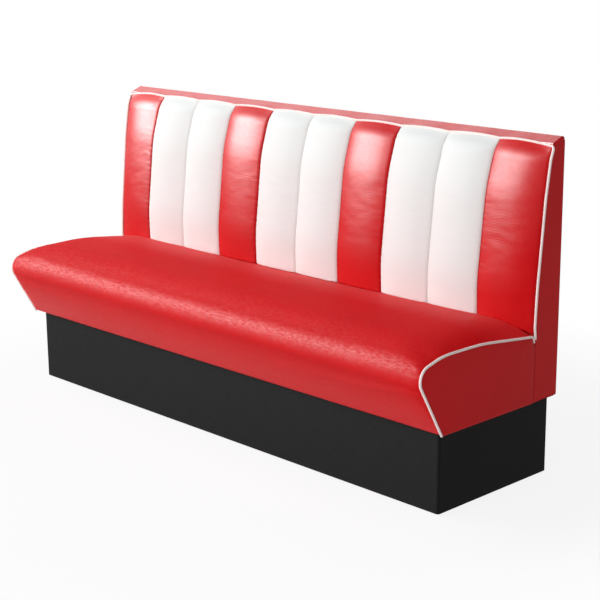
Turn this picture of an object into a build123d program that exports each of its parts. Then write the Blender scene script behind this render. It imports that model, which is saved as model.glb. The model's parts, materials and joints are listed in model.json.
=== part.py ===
from build123d import *
import os
from math import asin, atan2, cos, hypot, sin, tan

# A booth bench for one side of a diner table: a wrapped plinth, a crowned seat and a channelled back.
# The frame is +X to the right as seen by someone facing the bench, +Y to the back, +Z up, in millimetres.
# The origin is on the floor, under the middle of the whole bench.
# A profile is a list of (depth, height) points: depth is measured forward from the back plane.

# Driving dimensions
overall_length = 1800
overall_height = 940
overall_depth = 580
base_height = 229
fit_gap = 0.3
foam_gap = 0.6
overrun = 20
round_run_share = 0.48

# Vinyl, cloth and piping
cover_thickness = 1.5
cloth_thickness = 1.5
piping_radius = 3.5
piping_corner_radius = 4.2

# Plinth, which stands behind the seat's foot
plinth_end_inset = 27
plinth_back_inset = 5
plinth_toe_inset = 18
plinth_corner_radius = 8
wrap_thickness = 1.2
plinth_board = 18
cleat_width = 30
cleat_height = 30
corner_block_width = 38
cross_board_count = 3
glide_height = 4
glide_radius = 14
glide_chamfer = 1
glide_nail_radius = 1.5
glide_nail_length = 16

# Seat cover: setbacks are from the bench's front, and rises are above the plinth
seat_foot_setback = 99
seat_hem_width = 15
foot_round = 5
nose_radius = 26
nose_rise = 160
nose_lift = 6
nose_crown = 18
shoulder_setback = 100
shoulder_rise = 212
shoulder_round = 260
crest_depth_share = 0.47
crest_rise = 219
crest_round = 800
heel_reach = 16
heel_rise = 194
heel_round = 16
top_crown = 22
crown_reach = 240
crown_power = 3
crown_station_shares = [0, 0.15, 0.4, 0.7, 1]

# Seat frame and foam
seat_board = 18
end_board_setback = 14
nose_board_thickness = 13.5
nose_board_foot_inset = 11
nose_board_top_setback = 44
deck_thickness = 12
deck_rise = 155
deck_front_setback = 6
nape_above_deck = 4
tail_below_deck = 54
batten_width = 40
batten_height = 30
seat_block_width = 45

# Back cover: the places up its face, from the crevice to the brow
# Height shares are of the way from the seat's heel to the top, and depth shares from the lip to the seat
unit_plane_depth = 106
lip_depth = 46.5
lip_drop = 14
end_depth_shares = [0.97, 1.02, 0.93, 0.53, 0.26]
end_height_shares = [-0.01, 0.033, 0.236, 0.7, 0.894]
seam_pad = 30
seam_pad_shares = [0.1, 0.77, 1.03, 0.87, 0.33]
seam_height_shares = [0.037, 0.075, 0.226, 0.71, 0.91]
channel_crown = 18
channel_crown_shares = [0, 1.05, 1, 1, 0.9]
crest_height_shares = [0.045, 0.09, 0.236, 0.72, 0.93]
tuck_round = 14
lumbar_round = 480
shoulder_turn_round = 400
brow_round = 55
channel_count = 10
red_channel_step = 3
channel_station_shares = [0, 0.5, 1]
back_corner_radius = 12
top_band_drop = 20
strip_edge_thickness = 4

# Back frame
back_board = 18
upright_setback = 7
rear_board_thickness = 3
bottom_rail_height = 22
joint_rail_height = 90
lumbar_rail_height = 40
lower_panel_thickness = 9
lower_panel_drop = 13
upper_panel_thickness = 9
upper_panel_foot_inset = 18
upper_panel_foot_rise = 9
upper_panel_head_inset = 8.5
upper_panel_head_drop = 45

# Bolts and screws
bolt_radius = 4
bolt_head_width = 13
bolt_head_height = 5.3
nut_height = 6.8
nut_bore_gap = 0.15
washer_radius = 10
washer_thickness = 1.6
bolt_tail = 3
bolt_end_inset = 150
screw_radius = 3
screw_head_width = 10
screw_head_height = 4
screw_bite = 18.5
screw_end_inset = 90

# Places that follow from the driving dimensions
back_y = overall_depth / 2
piping_plane = overall_length / 2 - piping_radius
piping_pitch = piping_radius + fit_gap
cover_edge = piping_plane - piping_pitch
board_face = piping_plane - cover_thickness
end_board_inner = board_face - seat_board
upright_inner = board_face - fit_gap - back_board
band_seam = piping_plane - back_corner_radius
channel_width = 2 * cover_edge / channel_count
inner_edge = cover_edge - channel_width
frame_foot = base_height + cloth_thickness
seat_back_depth = unit_plane_depth + fit_gap
back_front_depth = unit_plane_depth - fit_gap

seat_foot_depth = overall_depth - seat_foot_setback
shoulder_depth = overall_depth - shoulder_setback
crest_depth = unit_plane_depth + crest_depth_share * (overall_depth - unit_plane_depth)
heel_depth = unit_plane_depth + heel_reach
heel_height = base_height + heel_rise
deck_top_height = base_height + deck_rise
nape_height = deck_top_height + nape_above_deck
tail_height = deck_top_height - tail_below_deck
nose_board_foot_depth = seat_foot_depth - nose_board_foot_inset
nose_board_top_depth = overall_depth - nose_board_top_setback
seat_radii = [foot_round, nose_radius, shoulder_round, crest_round, heel_round, 0]

lower_panel_top_height = heel_height - lower_panel_drop
upper_panel_foot = (unit_plane_depth - upper_panel_foot_inset, heel_height + upper_panel_foot_rise)
upper_panel_head = (lip_depth - upper_panel_head_inset, overall_height - upper_panel_head_drop)
back_radii = [tuck_round, lumbar_round, shoulder_turn_round, brow_round]

plinth_half = overall_length / 2 - plinth_end_inset
plinth_rear = plinth_back_inset
plinth_front = seat_foot_depth - plinth_toe_inset
wrap_gap = wrap_thickness + fit_gap
plinth_inner_half = plinth_half - wrap_gap - plinth_board
plinth_inner_rear = plinth_rear + wrap_gap + plinth_board
plinth_inner_front = plinth_front - wrap_gap - plinth_board
cleat_foot = base_height - cleat_height
bay_width = 2 * plinth_inner_half / (cross_board_count + 1)
cross_board_places = [-plinth_inner_half + (i + 1) * bay_width for i in range(cross_board_count)]

joint_rail_foot = frame_foot + bottom_rail_height
bolt_height = joint_rail_foot + joint_rail_height / 2
bolt_seat_depth = back_front_depth - lower_panel_thickness - back_board
seat_rail_front = seat_back_depth + cover_thickness + fit_gap + seat_board
screw_length = cleat_height + cloth_thickness + screw_bite


def spot(x, depth, height):
    """A place in the bench's frame from its depth in front of the back plane."""
    return Vector(x, back_y - depth, height)


def block(x_low, x_high, depth_low, depth_high, z_low, z_high):
    """A rectangular piece between two planes each way."""
    size = (x_high - x_low, depth_high - depth_low, z_high - z_low)
    middle = spot((x_low + x_high) / 2, (depth_low + depth_high) / 2, (z_low + z_high) / 2)
    return Pos(*middle) * Box(*size)


def inset(points, distance):
    """The same polyline moved to its left by a distance, with its corners still in line."""
    lines = []
    for (d0, z0), (d1, z1) in zip(points, points[1:]):
        run = hypot(d1 - d0, z1 - z0)
        step = (-(z1 - z0) / run * distance, (d1 - d0) / run * distance)
        lines.append(((d0 + step[0], z0 + step[1]), (d1 + step[0], z1 + step[1])))
    corners = [crossing(first, second) for first, second in zip(lines, lines[1:])]
    return [lines[0][0], *corners, lines[-1][1]]


def crossing(first, second):
    """Where two lines cross, each given by two of its points."""
    (a, b), (c, d) = first, second
    run = (b[0] - a[0], b[1] - a[1])
    other = (d[0] - c[0], d[1] - c[1])
    share = ((c[0] - a[0]) * other[1] - (c[1] - a[1]) * other[0]) / (run[0] * other[1] - run[1] * other[0])
    return (a[0] + share * run[0], a[1] + share * run[1])


def blend(first, second, share):
    """The profile that lies a share of the way from the first to the second."""
    return [(a[0] + (b[0] - a[0]) * share, a[1] + (b[1] - a[1]) * share) for a, b in zip(first, second)]


def toward(start, end, distance):
    """The point a distance from start on the way to end."""
    share = distance / hypot(end[0] - start[0], end[1] - start[1])
    return (start[0] + (end[0] - start[0]) * share, start[1] + (end[1] - start[1]) * share)


def tangent(point, centre, radius, side):
    """The line from a point that touches a circle, which lies to its left (1) or its right (-1)."""
    away = (centre[0] - point[0], centre[1] - point[1])
    angle = atan2(away[1], away[0]) - side * asin(radius / hypot(*away))
    return point, (point[0] + cos(angle), point[1] + sin(angle))


def rounds(profile, radii):
    """The radii for a profile's corners, each limited to a share of the shorter run beside it."""
    fitted = []
    for before, corner, after, radius in zip(profile, profile[1:], profile[2:], radii):
        run = (corner[0] - before[0], corner[1] - before[1])
        other = (after[0] - corner[0], after[1] - corner[1])
        turn = abs(atan2(run[0] * other[1] - run[1] * other[0], run[0] * other[0] + run[1] * other[1]))
        longest = round_run_share * min(hypot(*run), hypot(*other))
        fitted.append(min(radius, longest / tan(turn / 2)) if turn else radius)
    return fitted


def drawn_in(radii, setback):
    """The radii of rounds once their profile is drawn in by a setback."""
    return [max(radius - setback, 0) for radius in radii]


def outline(x, points, radii):
    """A closed face across the bench at x, with its corners rounded by the radii."""
    line = FilletPolyline(*[spot(x, *point) for point in points], radius=radii, close=True)
    return make_face(line.edges())


def plate(x_low, x_high, points, radii):
    """A flat piece with a profile for its outline, between two planes across the bench."""
    return extrude(outline(x_low, points, radii), amount=x_high - x_low, dir=(1, 0, 0))


def strip(x, outer, inner, radii, thickness):
    """The face between two profiles that run side by side, the inner one to the left."""
    inner_radii = reversed(drawn_in(radii, thickness))
    return outline(x, [*outer, *reversed(inner)], [0, *radii, 0, 0, *inner_radii, 0])


def pair(piece):
    """A piece and its mirror image on the other end of the bench."""
    return [piece, mirror(piece, Plane.YZ)]


def crown(x):
    """The share of the full crown at x: none at the end piping, and all of it past the crown's reach."""
    reach = min((piping_plane - abs(x)) / crown_reach, 1)
    return 1 - (1 - reach) ** crown_power


def seat_profile(x):
    """The seat cover's outer line at x, from its hem under the front edge to its tail."""
    share = crown(x)
    lift = top_crown * share
    nose_depth = overall_depth - nose_radius - nose_crown * (1 - share)
    nose = (nose_depth, base_height + nose_rise + nose_lift * share)
    foot = (seat_foot_depth, base_height)
    shoulder = (shoulder_depth, base_height + shoulder_rise + lift)
    return [
        (seat_foot_depth - seat_hem_width, base_height),
        foot,
        crossing(tangent(foot, nose, nose_radius, 1), tangent(shoulder, nose, nose_radius, -1)),
        shoulder,
        (crest_depth, base_height + crest_rise + lift),
        (heel_depth, heel_height + lift),
        (seat_back_depth, nape_height),
        (seat_back_depth, tail_height),
    ]


def seat_rounds(x):
    """The radii along the seat cover's outer line at x."""
    return rounds(seat_profile(x), seat_radii)


def back_corners(pad, bulge, height_shares):
    """A back profile up to the top piping, proud of the end profile by shares of a pad and a bulge."""
    corners = []
    shares = zip(end_depth_shares, seam_pad_shares, channel_crown_shares, height_shares)
    for end_share, pad_share, crown_share, height_share in shares:
        depth = lip_depth + end_share * (unit_plane_depth - lip_depth)
        height = heel_height + height_share * (overall_height - heel_height)
        corners.append((depth + pad_share * pad + crown_share * bulge, height))
    return [*corners, (lip_depth, overall_height - lip_drop)]


end_profile = back_corners(0, 0, end_height_shares)
seam_profile = back_corners(seam_pad, 0, seam_height_shares)
crest_profile = back_corners(seam_pad, channel_crown, crest_height_shares)


def base_profile(x):
    """The back's line without its channels: the seams' line, falling back to the piping at each end."""
    share = max(abs(x) - inner_edge, 0) / (piping_plane - inner_edge)
    return blend(seam_profile, end_profile, share)


def channel_profile(x, bulge):
    """The back cover's outer line at x, bulged by a share of a whole channel's crest."""
    moved = [
        (point[0] + (high[0] - low[0]) * bulge, point[1] + (high[1] - low[1]) * bulge)
        for point, low, high in zip(base_profile(x), seam_profile, crest_profile)
    ]
    return trimmed(moved)


def trimmed(profile):
    """A back profile that stops short of the piping along the top."""
    return [*profile[:-1], toward(profile[-1], profile[-2], piping_pitch)]


def crowned(face_at, edge):
    """A solid along the seat: a straight middle, and a loft where the crown falls away to each end."""
    stations = [edge - share * crown_reach for share in crown_station_shares]
    end = loft([face_at(x) for x in stations])
    middle = extrude(face_at(-stations[-1]), amount=2 * stations[-1], dir=(1, 0, 0))
    return middle + pair(end)


def seat_cover_face(x):
    outer = seat_profile(x)
    return strip(x, outer, inset(outer, cover_thickness), seat_rounds(x), cover_thickness)


def level(points, height):
    """The place at a height on the line through two points."""
    return crossing(points, ((0, height), (1, height)))


def end_board():
    """The right end board of the seat, cut to the seat's profile."""
    edge = inset(seat_profile(piping_plane)[1:-1], end_board_setback)
    points = [level(edge[:2], frame_foot), *edge[1:], (edge[-1][0], frame_foot)]
    radii = drawn_in(seat_rounds(piping_plane)[1:-1], end_board_setback)
    return plate(end_board_inner, board_face, points, [0, *radii, 0, 0])


def seat_foam_face(x):
    """The foam's section: the cover's line outside, and the deck and nose board inside."""
    setback = cover_thickness + fit_gap
    outer = inset(seat_profile(x)[1:], setback)
    foot = base_height + foot_round + fit_gap
    deck = deck_top_height + fit_gap
    board_top = (nose_board_top_depth + fit_gap, deck_top_height - deck_thickness)
    board_foot = (nose_board_foot_depth + fit_gap, frame_foot)
    points = [
        level(outer[:2], foot),
        *outer[1:-1],
        level(outer[-2:], deck),
        (nose_board_top_depth - deck_front_setback, deck),
        board_top,
        level((board_foot, board_top), foot),
    ]
    radii = drawn_in(seat_rounds(x)[1:-1], setback)
    return outline(x, points, [0, *radii, 0, 0, 0, 0, 0])


def seat_foam():
    """Foam over the deck and down the nose, notched round both end boards."""
    foam = crowned(seat_foam_face, cover_edge - fit_gap)
    for board in pair(end_board()):
        foam -= board
    return foam


def seat_end_cover():
    """The flat red panel on the right end of the seat, inside the piping."""
    edge = inset(seat_profile(piping_plane)[1:-1], piping_pitch)
    radii = drawn_in(seat_rounds(piping_plane)[1:-1], piping_pitch)
    rear = [(seat_back_depth, nape_height), (seat_back_depth, base_height)]
    points = [level(edge[:2], base_height), *edge[1:-1], *rear]
    return plate(board_face, piping_plane, points, [0, *radii, 0, 0])


def piping(points, radii):
    """Round piping along a path of straight runs and tangent arcs."""
    path = FilletPolyline(*points, radius=radii)
    start = Plane(path @ 0, z_dir=path % 0)
    return sweep(start * Circle(piping_radius), path=path)


def seat_piping():
    """The white piping round the right end of the seat, from its foot up to the crevice."""
    foot, corner, shoulder, crest, heel = seat_profile(piping_plane)[1:-2]
    stop_depth = unit_plane_depth + 2 * piping_radius
    stop = crossing((crest, heel), ((stop_depth, 0), (stop_depth, 1)))
    points = [toward(foot, corner, piping_pitch), corner, shoulder, crest, stop]
    return piping([spot(piping_plane, *point) for point in points], seat_rounds(piping_plane)[1:-2])


def seat_rib(x):
    """An upright rib between the nose board and the rear rail, notched over both battens."""
    nose_foot = (nose_board_foot_depth - nose_board_thickness, frame_foot)
    nose_top = (nose_board_top_depth - nose_board_thickness, deck_top_height - deck_thickness)
    points = [nose_foot, nose_top, (seat_rail_front, nose_top[1]), (seat_rail_front, frame_foot)]
    rib = plate(x - seat_board / 2, x + seat_board / 2, points, [0, 0, 0, 0])
    return rib - seat_front_batten() - seat_rear_batten()


def seat_front_batten():
    front = nose_board_foot_depth - nose_board_thickness
    top = frame_foot + batten_height
    batten = block(-end_board_inner, end_board_inner, front - batten_width, front, frame_foot, top)
    return batten - base_screw_holes()


def seat_rear_batten():
    rear = seat_rail_front
    top = frame_foot + batten_height
    return block(-end_board_inner, end_board_inner, rear, rear + batten_width, frame_foot, top)


def seat_rear_rail():
    rear = seat_rail_front - seat_board
    top = deck_top_height - deck_thickness
    rail = block(-end_board_inner, end_board_inner, rear, rear + seat_board, frame_foot, top)
    return rail - unit_bolt_holes()


def seat_nose_board():
    """The sloped board behind the seat's front face."""
    foot = (nose_board_foot_depth, frame_foot)
    top = (nose_board_top_depth, deck_top_height - deck_thickness)
    points = [foot, top, (top[0] - nose_board_thickness, top[1]), (foot[0] - nose_board_thickness, foot[1])]
    return plate(-end_board_inner, end_board_inner, points, [0, 0, 0, 0])


def seat_deck():
    rear = seat_rail_front - seat_board
    front = nose_board_top_depth - deck_front_setback
    low = deck_top_height - deck_thickness
    return block(-end_board_inner, end_board_inner, rear, front, low, deck_top_height)


def seat_corner_blocks():
    """Triangular glue blocks under the deck, in the four corners of the seat frame."""
    top = deck_top_height - deck_thickness
    low = top - batten_height
    front = nose_board_foot_depth - nose_board_thickness
    blocks = []
    for depth, way in ((seat_rail_front, 1), (front, -1)):
        corner = spot(end_board_inner, depth, low)
        across = spot(end_board_inner - seat_block_width, depth, low)
        along = spot(end_board_inner, depth + way * seat_block_width, low)
        face = make_face(Polyline(corner, across, along, close=True).edges())
        blocks += pair(extrude(face, amount=batten_height, dir=(0, 0, 1)))
    return Compound(blocks)


def seat_bottom_cloth():
    """The thin cloth under the seat frame, inside the cover's hem."""
    rear = seat_back_depth
    front = seat_foot_depth - seat_hem_width - fit_gap
    cloth = block(-board_face, board_face, rear, front, base_height, frame_foot)
    return cloth - base_screw_holes()


def channel_edges(index):
    """The left and right seams of one channel, counted from the left end."""
    left = -cover_edge + index * channel_width
    return left, left + channel_width


def channel_cover(index):
    """The vinyl of one channel: a skin that bulges between its two seams."""
    left, right = channel_edges(index)
    faces = []
    for share in channel_station_shares:
        x = left + (right - left) * share
        outer = channel_profile(x, 4 * share * (1 - share))
        radii = rounds(outer, back_radii)
        faces.append(strip(x, outer, inset(outer, cover_thickness), radii, cover_thickness))
    return loft(faces)


def channel_foam(index):
    """The foam strip that fills one channel, down to a thin edge along its seams."""
    left, right = channel_edges(index)
    setback = cover_thickness + fit_gap
    depth = setback + strip_edge_thickness
    faces = []
    for share in channel_station_shares:
        x = left + (right - left) * share
        cover = channel_profile(x, 4 * share * (1 - share))
        base = trimmed(base_profile(x))
        points = [*inset(cover, setback), *reversed(inset(base, depth))]
        outer_radii = drawn_in(rounds(cover, back_radii), setback)
        inner_radii = reversed(drawn_in(rounds(base, back_radii), depth))
        faces.append(outline(x, points, [0, *outer_radii, 0, 0, *inner_radii, 0]))
    return loft(faces)


def back_base_foam():
    """The foam slab between the upper panel and the channel strips."""
    depth = cover_thickness + fit_gap + strip_edge_thickness + foam_gap
    edge = upright_inner - fit_gap
    faces = []
    for x in (-edge, -inner_edge, inner_edge, edge):
        base = trimmed(base_profile(x))
        radii = drawn_in(rounds(base, back_radii), depth)
        front = inset(base, depth)
        head = (upper_panel_head[0] + fit_gap, front[-1][1])
        foot = (upper_panel_foot[0] + fit_gap, upper_panel_foot[1])
        faces.append(outline(x, [*front, head, foot], [0, *radii, 0, 0, 0]))
    return loft(faces, ruled=True)


def back_piping():
    """The white piping up one side of the back, along its top and down the other side."""
    side = [spot(piping_plane, *point) for point in end_profile]
    far_side = [spot(-piping_plane, *point) for point in reversed(end_profile)]
    radii = rounds(end_profile, back_radii)
    radii = [*radii, piping_corner_radius, piping_corner_radius, *reversed(radii)]
    return piping([*side, *far_side], radii)


def back_body(setback, edge_setback, length, foot):
    """The back as a solid prism, with its rear and top edges rounded, drawn in by the setbacks."""
    front = inset(end_profile, edge_setback)
    round_centre = (back_corner_radius, overall_height - back_corner_radius)
    top_line = inset(tangent(end_profile[-1], round_centre, back_corner_radius, 1), setback)
    rear_line = ((setback, 0), (setback, 1))
    top_front = toward(*top_line, edge_setback)
    top_rear = crossing(top_line, rear_line)
    body = plate(
        -length,
        length,
        [
            (setback, foot),
            (back_front_depth, foot),
            (back_front_depth, front[0][1] - edge_setback),
            *front,
            top_front,
            top_rear,
        ],
        [0, 0, 0, 0, *drawn_in(rounds(end_profile, back_radii), edge_setback), 0, 0, 0],
    )
    rear_face = body.faces().sort_by(Axis.Y)[-1]
    top_face = body.faces().sort_by(Axis.Z)[-1]
    edges = [*rear_face.edges(), *top_face.edges().filter_by(Axis.X, reverse=True)]
    return fillet(edges, back_corner_radius - setback)


def back_skin():
    """The back's side, top and rear covers as one thin shell, before it is cut into panels."""
    skin = back_body(0, piping_pitch, piping_plane, base_height)
    hollow = back_body(cover_thickness, -overrun, piping_plane - cover_thickness, base_height - overrun)
    return skin - hollow


def back_core():
    """The room inside the back's covers, which its boards are cut to fit."""
    setback = cover_thickness + fit_gap
    return back_body(setback, upright_setback, piping_plane - setback, frame_foot)


def room(
    x_low=-overall_length,
    x_high=overall_length,
    depth_low=-overrun,
    depth_high=overall_depth + overrun,
    z_low=-overrun,
    z_high=overall_height + overrun,
):
    """A cutting block that runs past the bench wherever a limit isn't given."""
    return block(x_low, x_high, depth_low, depth_high, z_low, z_high)


def upright(core):
    """The right end upright of the back, cut to the back's whole profile."""
    return core & room(x_low=upright_inner)


def panel_face(depth_shift):
    """The foot and head of the upper panel's front face, moved back by a distance."""
    return [(depth - depth_shift, height) for depth, height in (upper_panel_foot, upper_panel_head)]


def middle_upright(x):
    """An inner upright, sloped along its front to carry the upper panel."""
    rear = cover_thickness + fit_gap + rear_board_thickness
    foot = frame_foot + bottom_rail_height
    low_front = back_front_depth - lower_panel_thickness - back_board
    slope_foot, slope_head = panel_face(upper_panel_thickness)
    points = [
        (rear, foot),
        (low_front, foot),
        (low_front, slope_foot[1]),
        slope_foot,
        slope_head,
        (rear, slope_head[1]),
    ]
    return plate(x - back_board / 2, x + back_board / 2, points, [0] * len(points))


def upper_panel():
    foot, head = panel_face(0)
    rear_foot, rear_head = panel_face(upper_panel_thickness)
    return plate(-upright_inner, upright_inner, [foot, head, rear_head, rear_foot], [0, 0, 0, 0])


def lower_panel():
    rear = back_front_depth - lower_panel_thickness
    panel = block(-upright_inner, upright_inner, rear, back_front_depth, frame_foot, lower_panel_top_height)
    return panel - unit_bolt_holes()


def back_rail(low, height):
    """A rail of the back that stands behind the lower panel."""
    front = back_front_depth - lower_panel_thickness
    rail = block(-upright_inner, upright_inner, front - back_board, front, low, low + height)
    return rail - unit_bolt_holes()


def bottom_rail():
    """The flat rail that the inner uprights stand on."""
    rear = cover_thickness + fit_gap + rear_board_thickness
    front = back_front_depth - lower_panel_thickness
    rail = block(-upright_inner, upright_inner, rear, front, frame_foot, frame_foot + bottom_rail_height)
    return rail - base_screw_holes()


def top_rail(core):
    return core & room(
        x_low=-upright_inner,
        x_high=upright_inner,
        depth_low=cover_thickness + fit_gap + rear_board_thickness,
        depth_high=upper_panel_head[0],
        z_low=upper_panel_head[1],
    )


def rear_board(core):
    """The thin board behind the back, between the end uprights."""
    depth = cover_thickness + fit_gap + rear_board_thickness
    return core & room(x_low=-upright_inner, x_high=upright_inner, depth_high=depth)


def back_bottom_cloth():
    """The thin cloth under the back frame."""
    cloth = block(-board_face, board_face, back_corner_radius, back_front_depth, base_height, frame_foot)
    return cloth - base_screw_holes()


def plinth_prism(setback, low, high):
    """The plinth's rounded rectangle, drawn in by a setback."""
    size = (2 * (plinth_half - setback), plinth_front - plinth_rear - 2 * setback, high - low)
    middle = spot(0, (plinth_rear + plinth_front) / 2, (low + high) / 2)
    prism = Pos(*middle) * Box(*size)
    return fillet(prism.edges().filter_by(Axis.Z), plinth_corner_radius - setback)


def plinth_wrap():
    """The black wrap of the plinth, as its front, rear, left and right panels."""
    tube = plinth_prism(0, glide_height, base_height)
    tube -= plinth_prism(wrap_thickness, 0, base_height + overrun)
    turn = plinth_corner_radius
    front = tube & room(depth_low=plinth_front - turn)
    rear = tube & room(depth_high=plinth_rear + turn)
    right = tube & room(x_low=0, depth_low=plinth_rear + turn, depth_high=plinth_front - turn)
    return [front, rear, *pair(right)]


def plinth_boards():
    """The plinth's front, rear, left and right boards, with round outer corners on the end ones."""
    core = plinth_prism(wrap_gap, glide_height, base_height)
    end = plinth_inner_half
    front = core & room(x_low=-end, x_high=end, depth_low=plinth_inner_front)
    rear = core & room(x_low=-end, x_high=end, depth_high=plinth_inner_rear)
    right = core & room(x_low=end)
    return [front, rear, *pair(right)]


def plinth_cross_board(x):
    """A board across the plinth, notched under both cleats."""
    left, right = x - plinth_board / 2, x + plinth_board / 2
    board = block(left, right, plinth_inner_rear, plinth_inner_front, glide_height, base_height)
    for cleat in plinth_cleats():
        board -= cleat
    return board


def plinth_cleats():
    """The front and rear cleats along the top of the plinth, drilled for the screws."""
    half = plinth_inner_half
    cleats = []
    for depth in (plinth_inner_rear, plinth_inner_front - cleat_width):
        cleats.append(block(-half, half, depth, depth + cleat_width, cleat_foot, base_height))
    return [cleat - base_screw_holes() for cleat in cleats]


def plinth_block_places():
    """Where the corner blocks stand: at the plinth's ends and beside its outer cross boards."""
    width = corner_block_width
    lows = (plinth_inner_half - width, cross_board_places[-1] + plinth_board / 2)
    depths = (plinth_inner_rear, plinth_inner_front - width)
    return [(low, depth) for low in lows for depth in depths]


def plinth_corner_blocks():
    """Square blocks from the plinth's foot up to its cleats, which the glides are nailed into."""
    width = corner_block_width
    blocks = []
    for low, depth in plinth_block_places():
        blocks += pair(block(low, low + width, depth, depth + width, glide_height, cleat_foot))
    return Compound(blocks) - glide_nails()


def glide_centres():
    """The middle of each corner block on the right half of the plinth."""
    width = corner_block_width / 2
    return [(low + width, depth + width) for low, depth in plinth_block_places()]


def plinth_glides():
    """Round plastic glides under the corner blocks, with a chamfered foot."""
    glides = []
    for x, depth in glide_centres():
        disc = post(glide_radius, glide_height)
        disc = chamfer(disc.edges().sort_by(Axis.Z)[0], glide_chamfer)
        disc -= Pos(0, 0, glide_height / 2) * post(glide_nail_radius, glide_height)
        glides += pair(Pos(*spot(x, depth, 0)) * disc)
    return Compound(glides)


def glide_nails():
    """The steel nail of each glide, from inside the glide up into its block."""
    nails = []
    for x, depth in glide_centres():
        nail = Pos(*spot(x, depth, glide_height / 2)) * post(glide_nail_radius, glide_nail_length)
        nails += pair(nail)
    return Compound(nails)


def hexagon(width, height):
    """A hexagonal head or nut that stands on its flat face."""
    return extrude(RegularPolygon(width / 2, 6, major_radius=False), amount=height)


def post(radius, length):
    """A round bar that stands on its end."""
    return Cylinder(radius, length, align=(Align.CENTER, Align.CENTER, Align.MIN))


def bolt_line(x, depth):
    """A place on a unit bolt's axis, with its +Z towards the front."""
    return Plane(spot(x, depth, bolt_height), x_dir=(1, 0, 0), z_dir=(0, -1, 0))


def fixing_places(end_inset):
    """Four places along the bench: one near each end of the plinth, and the middles of its inner bays."""
    outer = plinth_inner_half - end_inset
    return [-outer, -bay_width / 2, bay_width / 2, outer]


def unit_bolt_holes():
    holes = []
    for x in fixing_places(bolt_end_inset):
        start = bolt_line(x, bolt_seat_depth - overrun)
        length = seat_rail_front - bolt_seat_depth + 2 * overrun
        holes.append(start * post(bolt_radius + fit_gap, length))
    return Compound(holes)


def unit_bolts():
    """The hexagon bolts that hold the back against the seat's rear rail."""
    bolts = []
    grip = seat_rail_front - bolt_seat_depth + 2 * washer_thickness
    for x in fixing_places(bolt_end_inset):
        head = bolt_line(x, bolt_seat_depth - washer_thickness - bolt_head_height)
        body = head * hexagon(bolt_head_width, bolt_head_height)
        under = bolt_line(x, bolt_seat_depth - washer_thickness)
        bolts.append(body + under * post(bolt_radius, grip + nut_height + bolt_tail))
    return Compound(bolts)


def unit_washers():
    washer = post(washer_radius, washer_thickness) - post(bolt_radius + fit_gap, washer_thickness)
    washers = []
    for x in fixing_places(bolt_end_inset):
        washers.append(bolt_line(x, bolt_seat_depth - washer_thickness) * washer)
        washers.append(bolt_line(x, seat_rail_front) * washer)
    return Compound(washers)


def unit_nuts():
    nut = hexagon(bolt_head_width, nut_height) - post(bolt_radius + nut_bore_gap, nut_height)
    places = fixing_places(bolt_end_inset)
    return Compound([bolt_line(x, seat_rail_front + washer_thickness) * nut for x in places])


def base_screw_places():
    """The feet of the base screws: under the middle of each cleat."""
    depths = (plinth_inner_rear + cleat_width / 2, plinth_inner_front - cleat_width / 2)
    return [spot(x, depth, cleat_foot) for x in fixing_places(screw_end_inset) for depth in depths]


def base_screw_holes():
    hole = post(screw_radius + fit_gap, screw_length + overrun)
    return Compound([Pos(*place) * hole for place in base_screw_places()])


def base_screws():
    """The hexagon screws up through the cleats into the seat and back frames."""
    screw = Pos(0, 0, -screw_head_height) * hexagon(screw_head_width, screw_head_height)
    screw += post(screw_radius, screw_length)
    return Compound([Pos(*place) * screw for place in base_screw_places()])


def channel_name(index):
    """A channel's node name, with its colour: red at each step from the left end, and white between."""
    colour = "red" if index % red_channel_step == 0 else "white"
    return f"back_channel_{index + 1:02d}_{colour}"


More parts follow.
